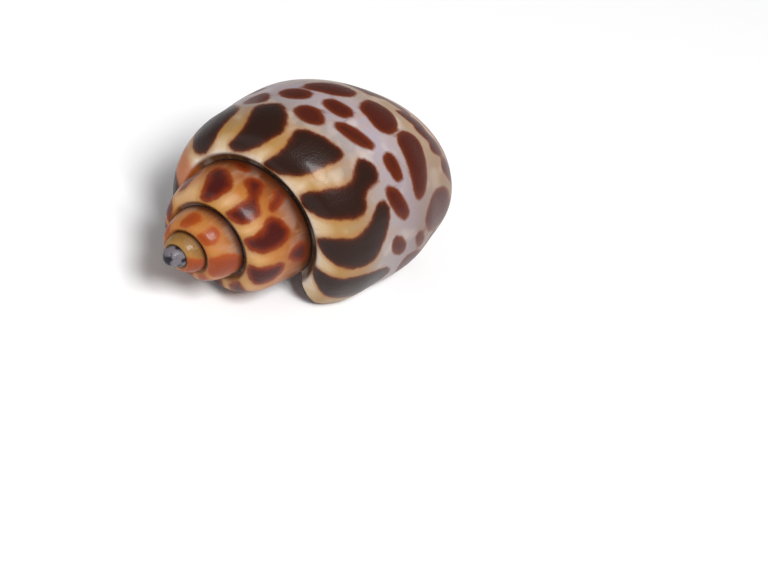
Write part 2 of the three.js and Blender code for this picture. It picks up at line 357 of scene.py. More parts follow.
class Skin:
    """A closed surface built from rows of points. Each point carries values that paint the faces it is a
    corner of, and two points may be welded into one vertex while each keeps its own values."""

    def __init__(self, names):
        self.names = names
        self.places = []
        self.values = []
        self.count = 0
        self.same = {}
        self.faces = []

    def row(self, points, **values):
        points = np.atleast_2d(points)
        block = np.zeros((len(points), len(self.names)))
        for name, value in values.items():
            block[:, self.names.index(name)] = value
        self.places.append(points)
        self.values.append(block)
        start = self.count
        self.count += len(points)
        return list(range(start, self.count))

    def weld(self, point, to):
        self.same[point] = to

    def at(self, point):
        while point in self.same:
            point = self.same[point]
        return point

    def face(self, *corners):
        kept = []
        vertices = []
        for corner in corners:
            vertex = self.at(corner)
            if vertex not in vertices:
                kept.append(corner)
                vertices.append(vertex)
        if len(kept) > 2:
            self.faces.append(kept)

    def strip(self, row, following):
        for j in range(len(row) - 1):
            self.face(row[j], following[j], following[j + 1], row[j + 1])

    def halve(self, ring, half):
        for k in range(len(half)):
            a, b, c = ring[2 * k], ring[2 * k + 1], ring[(2 * k + 2) % len(ring)]
            p, q = half[k], half[(k + 1) % len(half)]
            self.face(a, p, b)
            self.face(b, p, q)
            self.face(b, q, c)

    def piece(self, name, place):
        """The finished mesh object, with its points moved by the given function."""
        places = np.concatenate(self.places)
        values = np.concatenate(self.values)
        vertex = np.array([self.at(k) for k in range(self.count)])
        corners = np.array([k for face in self.faces for k in face])
        used, index = np.unique(vertex[corners], return_inverse=True)
        sizes = [len(face) for face in self.faces]
        mesh = bpy.data.meshes.new(name)
        ends = np.cumsum([0] + sizes)
        loops = [index[ends[k]:ends[k + 1]].tolist() for k in range(len(sizes))]
        mesh.from_pydata(place(places[used]).tolist(), [], loops)
        for k, value in enumerate(self.names):
            layer = mesh.attributes.new(value, "FLOAT", "CORNER")
            layer.data.foreach_set("value", values[corners, k].astype(np.float32))
        mesh.shade_smooth()
        obj = bpy.data.objects.new(name, mesh)
        bpy.context.scene.collection.objects.link(obj)
        return obj


def closed(ring):
    return [*ring, ring[0]]


def outline_length():
    """Distance along the outline from the suture, at every place counted in corners."""
    places = np.linspace(0, RIM, OUTLINE_FINENESS * RIM + 1)
    steps = np.linalg.norm(np.diff(spline(WHORL_OUTLINE, places), axis=0), axis=1)
    return places, np.concatenate([[0], np.cumsum(steps)])


OUTLINE_PLACES, OUTLINE_LENGTHS = outline_length()


def along(places):
    return np.interp(places, OUTLINE_PLACES, OUTLINE_LENGTHS)


SHELL_VALUES = ["turn", "along", "blotch", "spot", "seam", "enamel"]
FAR_FROM_SEAM = 1.0
INSIDE = {"along": 1.0, "seam": FAR_FROM_SEAM}  # what the enamelled inside has for the outside's values
UMBILICUS_LENGTH = 0.5  # how much "along" grows from the rim of the umbilicus to its top


def make_shell():
    skin = Skin(SHELL_VALUES)
    ceiling = skin.row([0, 0, -CEILING_DEPTH], turn=LIP_TURN, along=along(RIM) + UMBILICUS_LENGTH)[0]
    upper = []
    lower = {}
    for step in range(LAST_STEP + 1):
        upper.append(upper_row(skin, step))
        if step >= START_OF_LAST:
            lower[step] = [upper[-1][-1], *lower_row(skin, turn_of(step)), ceiling]
    for step in range(START_OF_LAST + 1):
        skin.weld(upper[step][-1], upper[step + STEPS_PER_TURN][0])
    for step in range(LAST_STEP):
        skin.strip(upper[step], upper[step + 1])
    for step in range(START_OF_LAST, LAST_STEP):
        skin.strip(lower[step], lower[step + 1])
    close_tip(skin, upper)
    mouth = round_lip(skin, upper[LAST_STEP], lower[LAST_STEP], lower[START_OF_LAST])
    line_hollow(skin, mouth)
    return skin


def upper_row(skin, step):
    """The part of a whorl that shows in the spire, from its suture to the next."""
    turn = turn_of(step)
    places = upper_places(turn)
    distance = along(places)
    seam = distance[-1] - distance if step <= START_OF_LAST else distance + FAR_FROM_SEAM
    points = rippled_point(turn, spline(WHORL_OUTLINE, places), np.minimum(distance, seam))
    if step <= START_OF_LAST:
        meeting = point_at(turn + 1, np.array([1.0, 0.0]))
        ease = smoothstep(np.linspace(0, 1, len(places)), *MEETING_EASE)[:, None]
        points = points + ease * (meeting - points[-1])
    return skin.row(points, turn=turn, along=distance, seam=seam)


def lower_row(skin, turn):
    """The rest of the last whorl, over its base and down into the umbilicus, without the top of that."""
    in_umbilicus = along(RIM) + UMBILICUS_LENGTH * parts(UMBILICUS_SAMPLES)
    distance = np.concatenate([along(lower_places(turn)), in_umbilicus])
    points = rippled_point(turn, lower_corners(turn), distance)
    shown = distance[:-1]
    return skin.row(points[:-1], turn=turn, along=shown, seam=shown, enamel=callus_cover(turn, shown))


def callus_cover(turn, distance):
    """How far white enamel covers the base: beside the inner lip, and down in the umbilicus."""
    beyond = (turn - LIP_TURN + 1) / CALLUS_TURNS
    beside_lip = 1 - smoothstep(beyond, *CALLUS_FADE)
    in_umbilicus = smoothstep(distance, along(RIM), along(RIM) + UMBILICUS_FADE)
    return np.maximum(beside_lip, in_umbilicus)


def close_tip(skin, upper):
    """The top of the knob, over the start of the coil."""
    turns = turn_of(np.arange(STEPS_PER_TURN))
    radii = suture_radius(turns)
    depths = suture_depth(turns)
    angles = -2 * math.pi * turns
    tip = skin.row([0, 0, 0], turn=turns[0], seam=FAR_FROM_SEAM)[0]
    rings = []
    for part in parts(DOME_RINGS)[:-1]:
        points = np.stack([radii * np.cos(angles), radii * np.sin(angles), -depths], axis=-1)
        rings.append(skin.row(on_knob(turns, part * points), turn=turns, seam=FAR_FROM_SEAM))
    rings.append([row[0] for row in upper[:STEPS_PER_TURN]])
    for j in range(STEPS_PER_TURN - 1):
        skin.face(tip, rings[0][j + 1], rings[0][j])
        for inner, outer in zip(rings, rings[1:]):
            skin.face(inner[j], inner[j + 1], outer[j + 1], outer[j])
    # The last gore also runs along the first row of the coil.
    seam = [tip, *[ring[0] for ring in rings], *upper[0][1:]]
    last = [tip, *[ring[-1] for ring in rings]]
    marks = [round(k * (len(seam) - 1) / DOME_RINGS) for k in range(DOME_RINGS + 1)]
    for k in range(DOME_RINGS):
        along_seam = seam[marks[k]:marks[k + 1] + 1]
        skin.face(*along_seam, *([last[k + 1], last[k]] if k else [last[k + 1]]))


def round_lip(skin, upper, lower, before):
    """The rounded edge of the mouth, from the outside to the hollow. Returns the ring at the hollow."""
    edge = [*upper, *lower[1:], *before[1:-1][::-1]]
    start = LIP_TURN - 1
    corners = np.concatenate([
        spline(WHORL_OUTLINE, upper_places(LIP_TURN)),
        lower_corners(LIP_TURN),
        from_whorl_before(LIP_TURN, lower_corners(start)[:-1][::-1]),
    ])
    mouth_corners = hollow_corners(LIP_TURN)
    gap = mouth_corners - corners
    thickness = np.minimum(np.linalg.norm(gap, axis=1), LIP_ROUNDED)
    ring = edge
    for k in range(1, LIP_RINGS + 2):
        bow = math.pi * k / (LIP_RINGS + 1)
        middle = corners + gap * (1 - math.cos(bow)) / 2
        forward = LIP_ROUNDNESS * math.sin(bow) * thickness / (2 * math.pi * middle[:, 0])
        points = shaped_point(LIP_TURN, middle, forward)
        following = skin.row(points, turn=LIP_TURN, enamel=min(1, k / LIP_RINGS), **INSIDE)
        skin.strip(closed(ring), closed(following))
        ring = following
    return ring


def line_hollow(skin, mouth):
    """The hollow from the mouth back into the coil."""
    depth = round(HOLLOW_TURNS * STEPS_PER_TURN)
    ring = None
    for step in range(1, depth + 1):
        turn = turn_of(LAST_STEP - step)
        corners = hollow_corners(turn)[::2]
        following = skin.row(shaped_point(turn, corners), turn=turn, enamel=1, **INSIDE)
        if ring is None:
            skin.halve(mouth, following)
        else:
            skin.strip(closed(ring), closed(following))
        ring = following
    turn = turn_of(LAST_STEP - depth)
    middle = skin.row(point_at(turn, hollow_corners(turn).mean(axis=0)), turn=turn, enamel=1)[0]
    for j in range(len(ring)):
        skin.face(ring[j], middle, ring[(j + 1) % len(ring)])


def make_operculum():
    skin = Skin(["ring", "across"])
    turn = LIP_TURN - OPERCULUM_INSET
    outline = hollow_corners(turn)[::2]
    tangent = np.roll(outline, -1, axis=0) - np.roll(outline, 1, axis=0)
    tangent /= np.linalg.norm(tangent, axis=1)[:, None]
    rim = outline + OPERCULUM_GAP * np.stack([-tangent[:, 1], tangent[:, 0]], axis=-1)
    middle = np.array(OPERCULUM_MIDDLE)
    inward = [1 - (1 - k / OPERCULUM_RINGS) ** OPERCULUM_CROWDING for k in range(OPERCULUM_RINGS)]
    rings = [(part, 0.0) for part in reversed(inward)] + [(part, 1.0) for part in inward]

    def level(part, face, corners):
        back = OPERCULUM_DISH * part * (2 - part) + OPERCULUM_LEAN * corners[:, 1] ** 2
        return turn + (face - 1) * OPERCULUM_TURNS - back

    rows = []
    for part, face in rings:
        corners = rim + (middle - rim) * part
        points = point_at(level(part, face, corners), corners)
        rows.append(skin.row(points, ring=1 - part, across=corners[:, 0]))
    for row, following in zip(rows, rows[1:]):
        skin.strip(closed(row), closed(following))
    for row, face in ((rows[0][::-1], 0.0), (rows[-1], 1.0)):
        centre = skin.row(point_at(level(1, face, middle[None]), middle[None]), across=middle[0])[0]
        for j in range(len(row)):
            skin.face(centre, row[j], row[(j + 1) % len(row)])
    return skin


def rest_matrix():
    tip = Matrix.Rotation(math.radians(-REST_TIP), 3, "Y")
    roll = Matrix.Rotation(math.radians(-REST_ROLL), 3, "Z")
    return np.array(tip @ roll)


REST = rest_matrix()


def set_down(points):
    """From the shell's own frame in millimetres to where it lies, with its worn flats on the table."""
    lying = (points * (1, 1, AXIS_FIT)) @ REST.T + SET_DOWN
    lying[:, 2] = np.maximum(lying[:, 2], 0)
    return lying * MM


# The markings that face the camera, as outlines of (turn, distance along the whorl from its suture, in
# suture radii), read off the photograph.
BLOTCHES = [
    # on the last whorl
    [(-0.405, 0.3), (-0.415, 0.6), (-0.42, 0.95), (-0.415, 1.3), (-0.39, 1.4), (-0.366, 1.28),
     (-0.335, 1.0), (-0.336, 0.71), (-0.343, 0.47), (-0.357, 0.27), (-0.38, 0.18)],
    [(-0.315, 0.28), (-0.3, 0.47), (-0.301, 0.73), (-0.313, 1.06), (-0.305, 1.21), (-0.283, 1.31),
     (-0.259, 1.12), (-0.24, 0.84), (-0.24, 0.65), (-0.25, 0.42), (-0.269, 0.25), (-0.298, 0.18)],
    [(-0.23, 0.2), (-0.22, 0.45), (-0.221, 0.65), (-0.228, 0.82), (-0.227, 0.97), (-0.208, 1.09),
     (-0.185, 1.16), (-0.165, 1.18), (-0.156, 1.06), (-0.159, 0.79), (-0.163, 0.5), (-0.174, 0.33),
     (-0.196, 0.18), (-0.219, 0.15)],
    [(-0.14, 0.27), (-0.132, 0.56), (-0.124, 0.87), (-0.129, 1.06), (-0.141, 1.18), (-0.147, 1.35),
     (-0.137, 1.45), (-0.123, 1.49), (-0.107, 1.42), (-0.103, 1.21), (-0.097, 1.09), (-0.083, 1.03),
     (-0.075, 0.87), (-0.08, 0.63), (-0.088, 0.37), (-0.106, 0.2), (-0.124, 0.16)],
    [(-0.048, 0.2), (-0.055, 0.47), (-0.051, 0.69), (-0.059, 0.92), (-0.071, 1.09), (-0.08, 1.21),
     (-0.083, 1.35), (-0.07, 1.42), (-0.049, 1.35), (-0.028, 1.21), (-0.009, 1.06), (0, 0.84),
     (-0.003, 0.58), (-0.01, 0.37), (-0.024, 0.2)],
    [(0.022, 0.25), (0.03, 0.15), (0.05, 0.15), (0.064, 0.35), (0.07, 0.7), (0.072, 1.1), (0.06, 1.4),
     (0.04, 1.5), (0.022, 1.35), (0.014, 1.0), (0.016, 0.6)],
    # on the whorl before it
    [(-1.299, 0.27), (-1.299, 0.4), (-1.309, 0.77), (-1.327, 1.14), (-1.323, 1.46), (-1.295, 1.46),
     (-1.268, 1.28), (-1.237, 1.01), (-1.233, 0.81), (-1.234, 0.6), (-1.245, 0.37), (-1.268, 0.2)],
    [(-1.295, 1.72), (-1.29, 1.9), (-1.27, 1.92), (-1.245, 1.75), (-1.248, 1.56), (-1.273, 1.59)],
    [(-1.231, 1.28), (-1.231, 1.52), (-1.213, 1.63), (-1.193, 1.61), (-1.185, 1.48), (-1.178, 1.29),
     (-1.167, 1.13), (-1.15, 1.02), (-1.138, 0.94), (-1.135, 0.72), (-1.133, 0.54), (-1.139, 0.35),
     (-1.156, 0.25), (-1.175, 0.2), (-1.194, 0.26), (-1.192, 0.47), (-1.19, 0.71), (-1.19, 0.95),
     (-1.204, 1.08)],
    [(-1.174, 1.68), (-1.171, 1.89), (-1.155, 1.95), (-1.145, 1.77), (-1.135, 1.53), (-1.129, 1.31),
     (-1.137, 1.19), (-1.15, 1.27), (-1.159, 1.47)],
    [(-1.095, 0.25), (-1.1, 0.51), (-1.108, 0.76), (-1.119, 0.89), (-1.126, 1.07), (-1.115, 1.3),
     (-1.093, 1.42), (-1.072, 1.46), (-1.056, 1.33), (-1.047, 1.09), (-1.044, 0.85), (-1.043, 0.6),
     (-1.052, 0.35), (-1.07, 0.22)],
    [(-1.03, 1.41), (-1.039, 1.68), (-1.024, 1.86), (-0.998, 1.88), (-0.975, 1.7), (-0.99, 1.4),
     (-1.011, 1.26)],
    [(-1.0, 0.25), (-1.003, 0.5), (-1.006, 0.8), (-1.005, 1.08), (-0.98, 1.15), (-0.95, 0.95),
     (-0.93, 0.55), (-0.945, 0.28), (-0.975, 0.18)],
    [(-1.4, 0.6), (-1.405, 1.0), (-1.39, 1.45), (-1.368, 1.4), (-1.358, 1.0), (-1.37, 0.6)],
    # on the older whorls
    [(-2.315, 0.3), (-2.32, 0.8), (-2.3, 1.25), (-2.26, 1.3), (-2.235, 1.0), (-2.24, 0.6), (-2.265, 0.3)],
    [(-2.195, 0.25), (-2.185, 0.6), (-2.19, 1.0), (-2.165, 1.25), (-2.13, 1.1), (-2.11, 0.7), (-2.12, 0.3),
     (-2.155, 0.18)],
    [(-2.045, 0.22), (-2.055, 0.7), (-2.05, 1.2), (-2.02, 1.7), (-1.97, 1.8), (-1.94, 1.4), (-1.92, 0.8),
     (-1.935, 0.3), (-1.98, 0.18)],
    [(-3.07, 0.2), (-3.05, 0.8), (-3.03, 1.5), (-2.96, 1.7), (-2.88, 1.3), (-2.85, 0.6), (-2.9, 0.2)],
]
SPOTS = [
    [(-0.31, 1.61), (-0.307, 1.76), (-0.288, 1.85), (-0.268, 1.82), (-0.262, 1.65), (-0.274, 1.53),
     (-0.293, 1.49)],
    [(-0.262, 1.35), (-0.255, 1.49), (-0.238, 1.53), (-0.221, 1.45), (-0.212, 1.3), (-0.223, 1.16),
     (-0.24, 1.14), (-0.255, 1.21)],
    [(-0.247, 1.72), (-0.241, 1.88), (-0.225, 1.92), (-0.208, 1.91), (-0.2, 1.8), (-0.203, 1.68),
     (-0.214, 1.61), (-0.232, 1.62)],
    [(-0.207, 1.5), (-0.196, 1.62), (-0.179, 1.68), (-0.162, 1.71), (-0.152, 1.72), (-0.146, 1.65),
     (-0.15, 1.57), (-0.165, 1.45), (-0.187, 1.4), (-0.202, 1.41)],
    [(-0.212, 2.15), (-0.213, 2.42), (-0.193, 2.55), (-0.174, 2.54), (-0.158, 2.4), (-0.151, 2.15),
     (-0.159, 1.99), (-0.175, 1.95), (-0.192, 1.99), (-0.205, 2.03)],
    [(-0.135, 1.84), (-0.128, 1.9), (-0.112, 1.89), (-0.097, 1.85), (-0.091, 1.78), (-0.096, 1.68),
     (-0.112, 1.65), (-0.128, 1.67), (-0.135, 1.76)],
    [(-0.149, 2.25), (-0.147, 2.45), (-0.13, 2.6), (-0.111, 2.58), (-0.088, 2.45), (-0.07, 2.29),
     (-0.057, 2.1), (-0.058, 1.95), (-0.073, 1.94), (-0.099, 2.01), (-0.124, 2.07), (-0.14, 2.12)],
    [(-0.096, 1.49), (-0.087, 1.65), (-0.07, 1.72), (-0.052, 1.76), (-0.041, 1.68), (-0.047, 1.57),
     (-0.062, 1.47), (-0.083, 1.43)],
    [(-0.18, 2.72), (-0.17, 2.95), (-0.145, 3.1), (-0.123, 3.02), (-0.132, 2.86), (-0.155, 2.75)],
    [(-0.295, 2.0), (-0.286, 2.18), (-0.268, 2.41), (-0.245, 2.45), (-0.231, 2.37), (-0.229, 2.14),
     (-0.245, 1.97), (-0.266, 1.9), (-0.282, 1.88)],
    [(-0.044, 2.24), (-0.05, 2.47), (-0.042, 2.7), (-0.022, 2.84), (0.005, 2.84), (0.024, 2.7),
     (0.016, 2.42), (-0.003, 2.16), (-0.026, 2.08)],
    [(-0.35, 1.28), (-0.35, 1.47), (-0.336, 1.6), (-0.32, 1.53), (-0.308, 1.33), (-0.318, 1.22),
     (-0.335, 1.17)],
    [(-0.026, 1.42), (-0.023, 1.55), (-0.004, 1.67), (0.011, 1.62), (0.003, 1.45), (-0.012, 1.36)],
    [(0.02, 1.75), (0.026, 2.05), (0.05, 2.2), (0.07, 2.0), (0.06, 1.75), (0.04, 1.65)],
]
# Long narrow spots, as a line and half its width in the same units.
STREAKS = [
    ([(-0.24, 2.75), (-0.22, 2.85)], 0.12),
    ([(-0.1, 2.85), (-0.085, 2.98)], 0.1),
    ([(-0.3, 2.72), (-0.285, 2.85)], 0.12),
    ([(-0.005, 1.95), (0.01, 2.02)], 0.09),
]
WIDEST = 1.6  # across the whorl where the markings lie, in suture radii
FAR = 9.0  # stands for a depth outside every marking, in millimetres
EDGE_REACH = 0.8  # how far outside an outline its distance is still worked out, in millimetres
OUTLINE_STEPS = 3  # points that the smooth outline has for each given one


def smooth_outline(outline):
    """A closed curve through the given places."""
    ring = np.asarray([outline[-1], *outline, outline[0], outline[1]])
    count = len(outline)
    return spline(ring, 1 + np.arange(OUTLINE_STEPS * count) / OUTLINE_STEPS)


def scale_at(turn):
    """Millimetres to a turn and to a suture radius, at the widest part of the whorl."""
    radius = suture_radius(turn)
    return np.array([2 * math.pi * WIDEST * radius, radius])


def distance_to_line(points, start, end):
    edge = end - start
    offset = points[:, None] - start
    share = np.clip((offset * edge).sum(axis=-1) / (edge**2).sum(axis=-1), 0, 1)
    return np.linalg.norm(offset - share[..., None] * edge, axis=-1).min(axis=1)


def is_inside(points, start, end):
    level = points[:, None, 1]
    crossed = (start[:, 1] > level) != (end[:, 1] > level)
    rise = np.where(end[:, 1] == start[:, 1], 1, end[:, 1] - start[:, 1])
    meeting = start[:, 0] + (level - start[:, 1]) / rise * (end[:, 0] - start[:, 0])
    return (crossed & (points[:, None, 0] < meeting)).sum(axis=1) % 2 == 1


def deepen(depth, places, line, half_width=None):
    """Raises each place's depth inside the markings by one more marking, a closed outline or a streak."""
    scale = scale_at(np.mean(line, axis=0)[0])
    if half_width is None:
        line = smooth_outline(line)
    line = np.asarray(line) * scale
    reach = EDGE_REACH + (half_width or 0) * scale[1]
    points = places * scale
    near = np.all((points > line.min(axis=0) - reach) & (points < line.max(axis=0) + reach), axis=1)
    if half_width is None:
        start, end = line, np.roll(line, -1, axis=0)
        distance = distance_to_line(points[near], start, end)
        distance = np.where(is_inside(points[near], start, end), distance, -distance)
    else:
        distance = half_width * scale[1] - distance_to_line(points[near], line[:-1], line[1:])
    depth[near] = np.maximum(depth[near], distance)


# The sides that the photograph hides carry the same kinds of marking, spaced and turned by chance.
SEED = 7
BLOTCH_SHAPE = [(-0.034, 0.2), (-0.01, 0.15), (0.02, 0.22), (0.032, 0.45), (0.036, 0.8), (0.03, 1.15),
                (0.008, 1.25), (-0.02, 1.1), (-0.026, 0.8), (-0.024, 0.5)]
BLOTCH_SHAPE_GAP = 0.082  # the gap at which that shape has its own size
BLOTCH_STRETCH = (0.85, 1.1)
BLOTCH_HEIGHT = (0.85, 1.1)
BLOTCH_SLANT = (-0.02, 0.012)
BLOTCH_WOBBLE = 0.002
BLOTCH_SPACING = (0.92, 1.1)
HIDDEN_BLOTCHES = (  # first turn, last turn and gap of each row
    (-0.86, -0.44, 0.082),
    (-1.86, -1.42, 0.1),
    (-2.82, -2.38, 0.12),
)
SPOT_LENGTH = (0.1, 0.34)  # half of it, in gaps
SPOT_RISE = (-0.02, 0.12)
SPOT_SPREAD = 0.04
SPOT_HALF_WIDTH = (0.1, 0.16)
SPOT_SPACING = (0.85, 1.15)
HIDDEN_SPOTS = (  # distance along the whorl, first turn, last turn and gap of each row
    (1.5, -0.88, -0.42, 0.062),
    (1.82, -0.86, -0.36, 0.07),
    (2.2, -0.87, -0.34, 0.066),
    (2.62, -0.88, -0.35, 0.07),
    (2.98, -0.86, 0.06, 0.075),
    (2.7, -0.32, -0.22, 0.07),
    (2.45, 0.035, 0.1, 0.05),
    (1.62, -1.9, -1.44, 0.08),
)


def hidden_blotches(draw):
    outlines = []
    for first, last, gap in HIDDEN_BLOTCHES:
        turn = first
        while turn < last:
            stretch = draw.uniform(*BLOTCH_STRETCH) * gap / BLOTCH_SHAPE_GAP
            height = draw.uniform(*BLOTCH_HEIGHT)
            slant = draw.uniform(*BLOTCH_SLANT)
            outlines.append([
                (turn + stretch * across + slant * below + draw.normal(0, BLOTCH_WOBBLE), height * below)
                for across, below in BLOTCH_SHAPE
            ])
            turn += gap * draw.uniform(*BLOTCH_SPACING)
    return outlines


def hidden_streaks(draw):
    streaks = []
    for level, first, last, gap in HIDDEN_SPOTS:
        turn = first
        while turn < last:
            length = draw.uniform(*SPOT_LENGTH) * gap
            rise = draw.uniform(*SPOT_RISE)
            middle = level + draw.normal(0, SPOT_SPREAD)
            line = [(turn - length, middle - rise), (turn, middle), (turn + length, middle + rise)]
            streaks.append((line, draw.uniform(*SPOT_HALF_WIDTH)))
            turn += gap * draw.uniform(*SPOT_SPACING)
    return streaks


def mark_shell(skin):
    """Gives each point its depth inside the big blotches and inside the small spots, in millimetres."""
    values = np.concatenate(skin.values)
    draw = np.random.default_rng(SEED)
    places = values[:, :2]
    blotch = np.full(len(values), -FAR)
    for outline in BLOTCHES + hidden_blotches(draw):
        deepen(blotch, places, outline)
    spot = np.full(len(values), -FAR)
    for outline in SPOTS:
        deepen(spot, places, outline)
    for line, half_width in STREAKS + hidden_streaks(draw):
        deepen(spot, places, line, half_width)
    values[:, SHELL_VALUES.index("blotch")] = blotch
    values[:, SHELL_VALUES.index("spot")] = spot
    skin.values = [values]
    return skin


shell = mark_shell(make_shell()).piece("spotted_shell", set_down)
operculum = make_operculum().piece("horny_operculum", set_down)

for obj, node in ((shell, "shell"), (operculum, "operculum")):
    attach(obj, "root")
    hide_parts(node)


class Look:
    """A material being put together from values painted on the mesh."""

    def __init__(self, name, **settings):
        self.material = bpy.data.materials.new(name)
        self.material.use_nodes = True
        self.nodes = self.material.node_tree.nodes
        self.links = self.material.node_tree.links
        self.shader = self.nodes["Principled BSDF"]
        for socket, value in settings.items():
            self.shader.inputs[socket.replace("_", " ")].default_value = value

    def feed(self, socket, value):
        if isinstance(value, bpy.types.NodeSocket):
            self.links.new(value, socket)
        else:
            socket.default_value = value

    def value(self, name):
        node = self.nodes.new("ShaderNodeAttribute")
        node.attribute_name = name
        return node.outputs["Fac"]

    def math(self, kind, a, b=0.0):
        node = self.nodes.new("ShaderNodeMath")
        node.operation = kind
        self.feed(node.inputs[0], a)
        self.feed(node.inputs[1], b)
        return node.outputs[0]

    def both(self, a, b):
        return self.math("MULTIPLY", a, b)

    def step(self, value, low, high):
        """0 up to low, 1 from high, and smooth between."""
        node = self.nodes.new("ShaderNodeMapRange")
        node.interpolation_type = "SMOOTHSTEP"
        self.feed(node.inputs["Value"], value)
        node.inputs["From Min"].default_value = min(low, high)
        node.inputs["From Max"].default_value = max(low, high)
        node.inputs["To Min"].default_value = 0.0 if low < high else 1.0
        node.inputs["To Max"].default_value = 1.0 if low < high else 0.0
        return node.outputs["Result"]

    def mix(self, share, a, b):
        node = self.nodes.new("ShaderNodeMix")
        node.data_type = "RGBA"
        self.feed(node.inputs["Factor"], share)
        self.feed(node.inputs["A"], a)
        self.feed(node.inputs["B"], b)
        return node.outputs["Result"]

    def tint(self, colour, share, strength, tone):
        """The colour under another one, which covers it by share times strength."""
        return self.mix(self.both(share, strength), colour, tone)

    def mix_value(self, share, a, b):
        return self.math("ADD", self.math("MULTIPLY", share, b - a), a)

    def ramp(self, value, stops, reach=1.0):
        """Colours along a value that runs from 0 to reach."""
        node = self.nodes.new("ShaderNodeValToRGB")
        self.feed(node.inputs["Fac"], self.math("DIVIDE", value, reach))
        elements = node.color_ramp.elements
        while len(elements) < len(stops):
            elements.new(0.5)
        for element, (place, colour) in zip(elements, stops):
            element.position = place / reach
            element.color = colour
        return node.outputs["Color"]

    def noise(self, vector, scale, detail=2.0):
        node = self.nodes.new("ShaderNodeTexNoise")
        self.feed(node.inputs["Vector"], vector)
        node.inputs["Scale"].default_value = scale
        node.inputs["Detail"].default_value = detail
        return node.outputs["Fac"]

    def place(self):
        return self.nodes.new("ShaderNodeTexCoord").outputs["Object"]

    def vector(self, x, y=0.0):
        node = self.nodes.new("ShaderNodeCombineXYZ")
        for socket, value in zip(node.inputs, (x, y)):
            self.feed(socket, value)
        return node.outputs[0]

    def relief(self, height, distance):
        node = self.nodes.new("ShaderNodeBump")
        node.inputs["Distance"].default_value = distance
        self.feed(node.inputs["Height"], height)
        self.links.new(node.outputs[0], self.shader.inputs["Normal"])


def shade(red, green, blue):
    """A colour given as it looks on a screen, 0 to 255, undone from the sRGB curve."""

    def linear(level):
        level /= 255
        return level / 12.92 if level <= 0.04045 else ((level + 0.055) / 1.055) ** 2.4

    return (linear(red), linear(green), linear(blue), 1)


# Ground colour of each whorl from its suture outwards, in suture radii.
GROUND_REACH = 4.5
LAST_GROUND = [
    (0.0, shade(66, 38, 20)),
    (0.1, shade(112, 74, 46)),
    (0.15, shade(226, 212, 196)),
    (0.24, shade(204, 180, 146)),
    (0.5, shade(158, 122, 70)),
    (0.85, shade(148, 122, 90)),
    (1.2, shade(150, 138, 132)),
    (1.8, shade(160, 148, 156)),
    (2.4, shade(164, 144, 130)),
    (3.0, shade(168, 136, 98)),
    (3.4, shade(158, 98, 48)),
    (3.9, shade(170, 130, 84)),
]
PENULTIMATE_GROUND = [
    (0.0, shade(48, 22, 9)),
    (0.1, shade(124, 68, 28)),
    (0.2, shade(182, 132, 66)),
    (0.45, shade(190, 146, 94)),
    (0.9, shade(170, 106, 46)),
    (1.3, shade(150, 84, 34)),
    (1.7, shade(104, 54, 24)),
]
OLDER_GROUND = [
    (0.0, shade(60, 26, 10)),
    (0.12, shade(168, 96, 40)),
    (0.5, shade(178, 110, 48)),
    (1.2, shade(156, 94, 44)),
    (1.6, shade(104, 62, 34)),
]
EARLIEST_GROUND = [
    (0.0, shade(58, 36, 16)),
    (0.3, shade(148, 108, 54)),
    (1.2, shade(122, 88, 44)),
]
KNOB_SHADES = [
    (0.0, shade(14, 12, 18)),
    (0.46, shade(32, 28, 36)),
    (0.54, shade(104, 98, 104)),
    (1.0, shade(120, 114, 120)),
]
# Colour of the markings from their edge inwards, in millimetres.
BLOTCH_REACH = 1.3
LAST_BLOTCH = [
    (0.0, shade(104, 46, 14)),
    (0.25, shade(76, 30, 10)),
    (0.55, shade(48, 20, 9)),
    (1.2, shade(38, 18, 11)),
]
OLDER_BLOTCH = [
    (0.0, shade(128, 54, 13)),
    (0.35, shade(116, 40, 8)),
    (0.8, shade(84, 24, 9)),
    (1.2, shade(66, 17, 12)),
]
EARLY_BLOTCH = [
    (0.0, shade(158, 76, 24)),
    (0.3, shade(146, 58, 14)),
    (1.2, shade(130, 46, 10)),
]
SPOT_SHADES = [
    (0.0, shade(108, 48, 16)),
    (0.3, shade(90, 33, 9)),
    (0.8, shade(72, 22, 9)),
]
STREAK_TONE = shade(176, 128, 86)
CLOUD_TONE = shade(232, 214, 200)
TAN = shade(158, 106, 50)
ORANGE_BROWN = shade(170, 82, 18)
# Painted shade, laid over the base near the lip.
PAINTED_SHADE_BROWN = shade(104, 78, 58)
# Dirt and painted shade in the sutures, darkest towards the next suture.
SUTURE_DIRT_AND_SHADE = shade(62, 25, 8)
SUTURE_LINE = shade(20, 10, 7)
FASCIOLE = shade(150, 82, 34)
LIP_EDGE = shade(165, 95, 45)
PORCELAIN = shade(238, 231, 226)
PORCELAIN_SHADOW = shade(205, 196, 204)

# Turns over which one whorl's colours give way to the next one's.
OLDER_GROUND_TURNS = (-2.85, -2.5)
PENULTIMATE_GROUND_TURNS = (-1.9, -1.5)
LAST_GROUND_TURNS = (-0.92, -0.5)
OLDER_BLOTCH_TURNS = (-1.9, -1.7)
LAST_BLOTCH_TURNS = (-0.9, -0.55)
CLOUD_TURNS = (-1.0, -0.6)

# Edges of the markings, in millimetres inside them, and how far they wander.
HALO_EDGE = (-1.1, -0.1)
BLOTCH_EDGE = (-0.32, 0.22)
SPOT_EDGE = (-0.3, 0.2)
EDGE_NOISE = (1100.0, 4.0)  # scale and detail, as in all the noises below
BLOTCH_WANDER = 0.6
SPOT_WANDER = 0.5  # as a share of the blotches'
EARLY_COVER = 0.9  # how far the early whorls' blotches hide their ground

